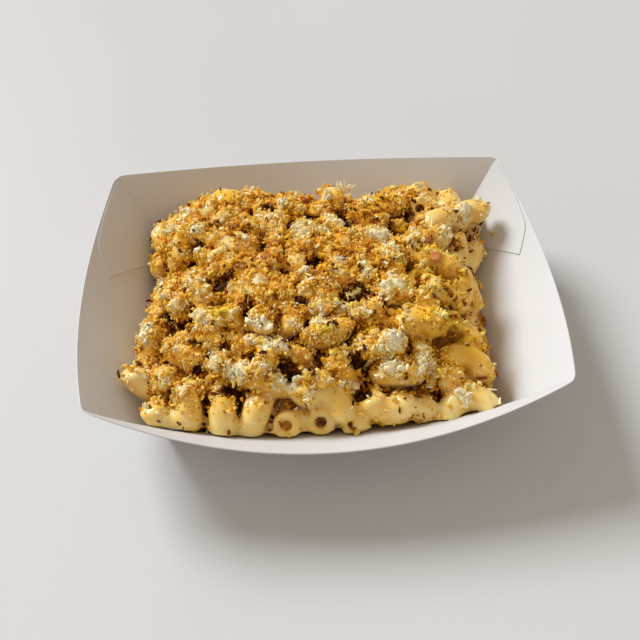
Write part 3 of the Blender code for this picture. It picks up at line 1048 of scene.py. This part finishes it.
def make_clumps():
    """Clumps of crumbs baked together: balls of many sizes, melted into one knobbly skin."""
    balls, sizes = clump_balls()
    ball = bmesh.new()
    bmesh.ops.create_icosphere(ball, subdivisions=2, radius=1)
    shape = bpy.data.meshes.new("ball")
    ball.to_mesh(shape)
    ball.free()
    tree, inputs = new_growth("strew balls", ["Size"])
    wire = Wire(tree)
    size = wire.node("GeometryNodeInputNamedAttribute", {"data_type": "FLOAT"}, {"Name": "size"})
    one = {"Object": bpy.data.objects.new("ball", shape)}
    laid = wire.node("GeometryNodeInstanceOnPoints", None, {
        "Points": inputs["Geometry"],
        "Instance": wire.node("GeometryNodeObjectInfo", None, one, output="Geometry"),
        "Scale": size * inputs["Size"],
    })
    crust, shader, wire = new_finish(
        "crumb crust",
        Specular_IOR_Level=0.15,
        Subsurface_Weight=0.5,
        Subsurface_Radius=(1.0, 0.55, 0.2),
        Subsurface_Scale=2 * MM,
    )
    fine = wire.noise(1.3 * MM, detail=5, rough=0.65)
    tone = wire.attribute("tone") + 0.9 * (fine - 0.5)
    wire.link(shader.inputs["Base Color"], baked_colour(wire, tone))
    wire.link(shader.inputs["Roughness"], 0.55 + 0.3 * fine)
    wire.link(shader.inputs["Normal"], fine.bump(0.6 * MM, 0.8))
    mesh = grow(tree, laid, points_mesh(balls, {"size": ("FLOAT", sizes)}), {"Size": 1.0}, crust)
    mesh = melt_together(mesh, CLUMP_GRAIN, 1)
    mesh.shade_smooth()
    clumps = new_piece("crumb_clumps", mesh, crust)
    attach(clumps, "root")
    return mesh


bake_macaroni()
macaroni_tree = surface_tree(macaroni_mesh)
clump_mesh = make_clumps()
clump_tree = surface_tree(clump_mesh)
surroundings = relief((macaroni_tree, clump_tree))
bake_and_shade(macaroni_mesh, surroundings, 0)
bake_and_shade(clump_mesh, surroundings, 0.1)
carry(clump_mesh, "cover", 0.7 * step(vertex_normals(clump_mesh)[:, 2], -0.4, 0.3))
macaroni_mesh.shade_smooth()
macaroni = new_piece("elbow_macaroni", macaroni_mesh, cheese_sauce)
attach(macaroni, "root")
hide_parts("macaroni_heap")


def make_crumb(chance, lobes, stretch):
    """One crumb: a few angular lumps of dry bread stuck together, about one unit across."""
    bm = bmesh.new()
    for _ in range(lobes):
        made = bmesh.ops.create_icosphere(bm, subdivisions=1, radius=0.4)["verts"]
        shift = Vector([chance.uniform(-0.26, 0.26) * min(lobes - 1, 1) for _ in range(3)])
        sides = [side * chance.uniform(0.75, 1.25) for side in stretch]
        for vertex in made:
            vertex.co *= chance.uniform(0.5, 1.4)
            vertex.co = Vector([a * b for a, b in zip(vertex.co, sides)]) + shift
    mesh = bpy.data.meshes.new("crumb")
    bm.to_mesh(mesh)
    bm.free()
    return mesh


def ground_mesh():
    """The upper surface that crumbs fall on: macaroni and clumps together."""
    bm = bmesh.new()
    bm.from_mesh(macaroni_mesh)
    bm.from_mesh(clump_mesh)
    bm.normal_update()
    hidden = [face for face in bm.faces if face.normal.z < -0.45]
    bmesh.ops.delete(bm, geom=hidden, context="FACES_ONLY")
    mesh = bpy.data.meshes.new("ground")
    bm.to_mesh(mesh)
    bm.free()
    up = step(vertex_normals(mesh)[:, 2], 0.1, 0.6)
    carry(mesh, "open", up)
    carry(mesh, "toasted", up * (0.35 + 2.4 * spot_share(vertex_places(mesh), TOASTED_SPOTS)))
    return mesh


def random_number(wire, values):
    """A random float for each point; its sockets share names with those of other types."""
    made = wire.node("FunctionNodeRandomValue", {"data_type": "FLOAT"})
    node = made.socket.node
    for socket in [*node.inputs]:
        if socket.enabled and socket.name in values:
            wire.link(socket, values[socket.name])
    return Wire(wire.tree, next(socket for socket in node.outputs if socket.enabled))


def strew_tree(name, kinds, seed, where, patch, lean):
    """A tree that strews crumbs over a surface where an attribute is above 0. Its inputs say how
    many to a square metre, their size and how far they stand off. patch is the size of the
    patches they gather in; lean shifts them towards (+) or away from (-) full cover."""
    tree, inputs = new_growth(name, ["Number", "Smallest", "Largest", "Lift"])
    wire = Wire(tree)
    cover = wire.node("GeometryNodeInputNamedAttribute", {"data_type": "FLOAT"}, {"Name": where})
    values = {"Scale": 1 / patch, "Detail": 2.0, "W": float(seed)}
    noise = wire.node("ShaderNodeTexNoise", {"noise_dimensions": "4D"}, values)
    gather = noise.ramp(0.5 - lean, 0.6 - lean)
    spread = wire.node("GeometryNodeDistributePointsOnFaces", None, {
        "Mesh": inputs["Geometry"],
        "Density": cover * gather * inputs["Number"],
        "Seed": seed,
    })
    normal = Wire(tree, spread.socket.node.outputs["Normal"])
    lift = random_number(wire, {"Min": 0.0, "Max": inputs["Lift"], "Seed": seed + 4})
    rise = wire.node("ShaderNodeVectorMath", {"operation": "SCALE"}, {"Vector": normal, "Scale": lift})
    points = wire.node("GeometryNodeSetPosition", None, {"Geometry": spread, "Offset": rise})
    values = {"Min": (0.0, 0.0, 0.0), "Max": (math.tau, math.tau, math.tau), "Seed": seed + 1}
    turn = wire.node("FunctionNodeRandomValue", {"data_type": "FLOAT_VECTOR"}, values)
    values = {"Min": inputs["Smallest"], "Max": inputs["Largest"], "Seed": seed + 2}
    size = random_number(wire, values)
    grain = random_number(wire, {"Min": 0.0, "Max": 1.0, "Seed": seed + 3})
    points = wire.node("GeometryNodeStoreNamedAttribute", {"data_type": "FLOAT", "domain": "POINT"}, {
        "Geometry": points, "Name": "grain", "Value": grain})
    choice = {"Collection": kinds, "Separate Children": True, "Reset Children": True}
    laid = wire.node("GeometryNodeInstanceOnPoints", None, {
        "Points": points,
        "Instance": wire.node("GeometryNodeCollectionInfo", None, choice),
        "Pick Instance": True,
        "Rotation": turn,
        "Scale": size,
    })
    return tree, laid


def crumb_finish(name, lighter, spread):
    """Dry toasted bread, faintly translucent: as baked as the spot it lies on, with that spot's
    painted shade and painted light, and each crumb up to spread lighter or darker."""
    bread, shader, wire = new_finish(
        name,
        Specular_IOR_Level=0.15,
        Subsurface_Weight=0.45,
        Subsurface_Radius=(1.0, 0.55, 0.2),
        Subsurface_Scale=1.4 * MM,
    )
    tone = wire.attribute("tone") + spread * (wire.attribute("grain") - 0.5)
    tone = tone + 1.2 * (wire.noise(3.5 * MM, detail=3) - 0.5) + lighter
    wire.link(shader.inputs["Base Color"], baked_colour(wire, tone))
    wire.link(shader.inputs["Roughness"], 0.6 + 0.3 * wire.noise(1 * MM))
    return bread


def strew(name, kinds, bread, seed, where, patch, lean, sizes):
    """Strews one kind of crumb over the crust as a piece of its own."""
    tree, laid = strew_tree(name, kinds, seed, where, patch, lean)
    mesh = grow(tree, laid, ground, sizes, bread)
    crumbs = new_piece(name, mesh, bread)
    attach(crumbs, "root")


def crumb_sizes(number, smallest, largest, lift):
    """The inputs of a strewing: a number to a square metre, and lengths from millimetres."""
    return {"Number": number, "Smallest": smallest * MM, "Largest": largest * MM, "Lift": lift * MM}


def strew_crumbs():
    chance = random.Random(5)
    shapes = [make_crumb(chance, 2, (1.4, 1.0, 0.65)) for _ in range(CRUMB_KINDS)]
    coarse = kinds_of("coarse crumb", shapes)
    shapes = [make_crumb(chance, 1, (1.5, 1.0, 0.6)) for _ in range(CRUMB_KINDS)]
    fine = kinds_of("fine crumb", shapes)
    # What and where each kind is: its shapes, how much lighter than the crust under it and how
    # varied, the number to a square metre, its smallest and largest size and its lift in
    # millimetres, the size of the patches it lies in, and its lean towards full cover
    kinds = (
        ("bottom_crumbs", fine, -0.1, 0.3, 0.53e6, 0.95, 1.8, 0.5, 12 * MM, 0.12),
        ("top_crumbs", fine, 0.06, 0.3, 1.1e6, 0.95, 1.8, 1.4, 5 * MM, 0.02),
        ("large_crumbs", coarse, 0.06, 0.35, 0.3e6, 1.6, 2.9, 1.0, 6 * MM, 0.04),
        ("fine_crumbs", fine, 0.02, 0.5, 0.45e6, 0.55, 0.95, 1.2, 10 * MM, 0.15),
    )
    for seed, row in enumerate(kinds):
        name, shapes, lighter, spread, number, smallest, largest, lift, patch, lean = row
        bread = crumb_finish(name.replace("_", " "), lighter, spread)
        sizes = crumb_sizes(number, smallest, largest, lift)
        strew(name, shapes, bread, 10 * seed + 3, "cover", patch, lean, sizes)


ground = ground_mesh()
strew_crumbs()


# ---------------------------------------------------------------------------------------------
# Shreds, char and pepper. A few thin slivers of dry bread and cheese lie on the crust, bits of it
# have charred almost black, and ground pepper shows on the sauce.


def strew_bits():
    chance = random.Random(9)
    sliver = kinds_of("sliver", [make_crumb(chance, 1, (2.0, 0.6, 0.4)) for _ in range(6)])
    flake = kinds_of("flake", [make_crumb(chance, 2, (1.1, 0.9, 0.4)) for _ in range(8)])
    speck = kinds_of("speck", [make_crumb(chance, 1, (1.2, 0.9, 0.7)) for _ in range(4)])
    pale, shader, wire = new_finish("dry shred", Subsurface_Weight=0.3, Subsurface_Scale=0.8 * MM)
    shade = wire.attribute("grain").mix((0.97, 0.82, 0.45), (0.99, 0.93, 0.72))
    wire.link(shader.inputs["Base Color"], shade)
    wire.link(shader.inputs["Roughness"], 0.5 + 0.3 * wire.noise(1 * MM))
    char, shader, wire = new_finish("charred crumb", Specular_IOR_Level=0.2)
    shade = wire.attribute("grain").mix((0.035, 0.01, 0.004), (0.30, 0.07, 0.01))
    wire.link(shader.inputs["Base Color"], shade)
    wire.link(shader.inputs["Roughness"], 0.45 + 0.4 * wire.noise(1 * MM))
    pepper, shader, wire = new_finish("ground pepper", Specular_IOR_Level=0.2)
    shade = wire.attribute("grain").mix((0.015, 0.01, 0.006), (0.11, 0.05, 0.015))
    wire.link(shader.inputs["Base Color"], shade)
    wire.link(shader.inputs["Roughness"], 0.5 + 0.3 * wire.noise(1 * MM))
    kinds = (
        ("pale_shreds", sliver, pale, "open", 0.010e6, 1.3, 2.8, 1.0, 20 * MM, 0.15),
        ("charred_bits", flake, char, "toasted", 0.055e6, 1.1, 3.4, 0.7, 9 * MM, 0.1),
        ("pepper_specks", speck, pepper, "open", 0.03e6, 0.35, 0.75, 0.15, 20 * MM, 0.2),
    )
    for seed, row in enumerate(kinds):
        name, shapes, finish, where, number, smallest, largest, lift, patch, lean = row
        sizes = crumb_sizes(number, smallest, largest, lift)
        strew(name, shapes, finish, 10 * seed + 61, where, patch, lean, sizes)


strew_bits()


# ---------------------------------------------------------------------------------------------
# Bits placed one by one: toasted crumbs that fell between the front elbows and the tray, two
# more on the tray's right-hand wall, a tuft of dry shreds standing up at the back, a burnt crumb
# plugging one elbow's end, and one small square bit of orange-brown crust.

FALLEN_CRUMBS = ((-46, 16), (-20, 15), (-16, 15), (7, 18), (18, 16), (23, 17), (29, 18), (33, 17))
WALL_CRUMBS = ((75, 30.3, 21.4), (74.4, 43.5, 24.7))
TUFT = (14, 41.5, 39.5)  # the foot of the standing shreds
TUFT_SHREDS = 9
SQUARE_BIT = (44.2, 3)
SQUARE_SIZE = (3.2, 3.6, 1.8)
PLUGGED_ELBOW = 7  # its row in EDGE_ELBOWS


def add_lump(bm, chance, place, size, stretch=(1.2, 0.9, 0.8), turn=None):
    """One angular lump, at a random turn unless one is given."""
    turn = turn or Euler([chance.uniform(0, math.tau) for _ in range(3)])
    for vertex in bmesh.ops.create_icosphere(bm, subdivisions=1, radius=0.5)["verts"]:
        vertex.co *= chance.uniform(0.7, 1.2)
        vertex.co = Vector([a * b * size for a, b in zip(vertex.co, stretch)])
        vertex.co.rotate(turn)
        vertex.co += place


def add_bits(name, bm, material):
    mesh = bpy.data.meshes.new(name)
    bm.to_mesh(mesh)
    bm.free()
    count = len(mesh.vertices)
    chance = random.Random(len(name))
    carry(mesh, "tone", [chance.uniform(0.25, 0.65) for _ in range(count)])
    carry(mesh, "grain", [chance.random() for _ in range(count)])
    piece = new_piece(name, mesh, material)
    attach(piece, "root")


def lay_bits():
    chance = random.Random(14)
    bm = bmesh.new()
    for x, z in FALLEN_CRUMBS:
        start = Vector((x * MM, heap_low.y - 20 * MM, z * MM))
        place, _, _, _ = macaroni_tree.ray_cast(start, Vector((0, 1, 0)))
        for _ in range(11):
            shift = Vector((chance.gauss(0, 1.8), 0, chance.gauss(0, 0.8))) * MM
            spot, _, _, _ = macaroni_tree.ray_cast(start + shift, Vector((0, 1, 0)))
            if spot is not None and (spot - place).length < 4 * MM:
                add_lump(bm, chance, spot, chance.uniform(0.8, 1.6) * MM)
    for x, y, z in WALL_CRUMBS:
        for _ in range(3):
            shift = Vector((-0.8, chance.uniform(-1, 1), chance.uniform(-0.6, 0.6)))
            add_lump(bm, chance, (Vector((x, y, z)) + shift) * MM, chance.uniform(1.4, 2.2) * MM)
    add_bits("fallen_crumbs", bm, bpy.data.materials["bottom crumbs"])

    bm = bmesh.new()
    for _ in range(TUFT_SHREDS):
        lean = Euler((chance.gauss(0, 0.35), chance.gauss(0, 0.35), chance.uniform(0, 3)))
        length = chance.uniform(3.5, 5.5)
        up = Vector((0, 0, 0.35 * length))
        up.rotate(lean)
        foot = Vector(TUFT) + Vector((chance.gauss(0, 1.6), chance.gauss(0, 0.8), 0)) + up
        add_lump(bm, chance, foot * MM, 1 * MM, (1.2, 0.8, length), lean)
    add_bits("standing_shreds", bm, bpy.data.materials["dry shred"])

    bm = bmesh.new()
    mouth = Vector(elbow_beads[PLUGGED_ELBOW][-1])
    ahead = (mouth - Vector(elbow_beads[PLUGGED_ELBOW][-2])).normalized()
    for _ in range(9):
        shift = Vector([chance.uniform(-1, 1) for _ in range(3)]) * 1.1 * MM
        add_lump(bm, chance, mouth + ahead * 0.9 * MM + shift, chance.uniform(1.4, 2.4) * MM)
    add_bits("burnt_plug", bm, bpy.data.materials["charred crumb"])

    crust, shader, wire = new_finish("orange crust", Subsurface_Weight=0.2, Subsurface_Scale=1 * MM)
    shade = wire.noise(1 * MM).ramp(0.35, 0.65).mix((0.70, 0.24, 0.05), (0.85, 0.42, 0.14))
    wire.link(shader.inputs["Base Color"], shade)
    wire.link(shader.inputs["Roughness"], 0.4 + 0.3 * wire.noise(2 * MM))
    place, normal = drop_onto(macaroni_tree, SQUARE_BIT[0] * MM, SQUARE_BIT[1] * MM)
    bm = bmesh.new()
    bmesh.ops.create_cube(bm, size=1)
    bmesh.ops.bevel(bm, geom=bm.edges[:], offset=0.12, segments=2, affect="EDGES")
    flat = normal.to_track_quat("Z", "Y")
    for vertex in bm.verts:
        vertex.co = flat @ Vector([a * b for a, b in zip(vertex.co, SQUARE_SIZE)]) * MM
        vertex.co += place + normal * 0.7 * MM
    add_bits("square_bit", bm, crust)


lay_bits()
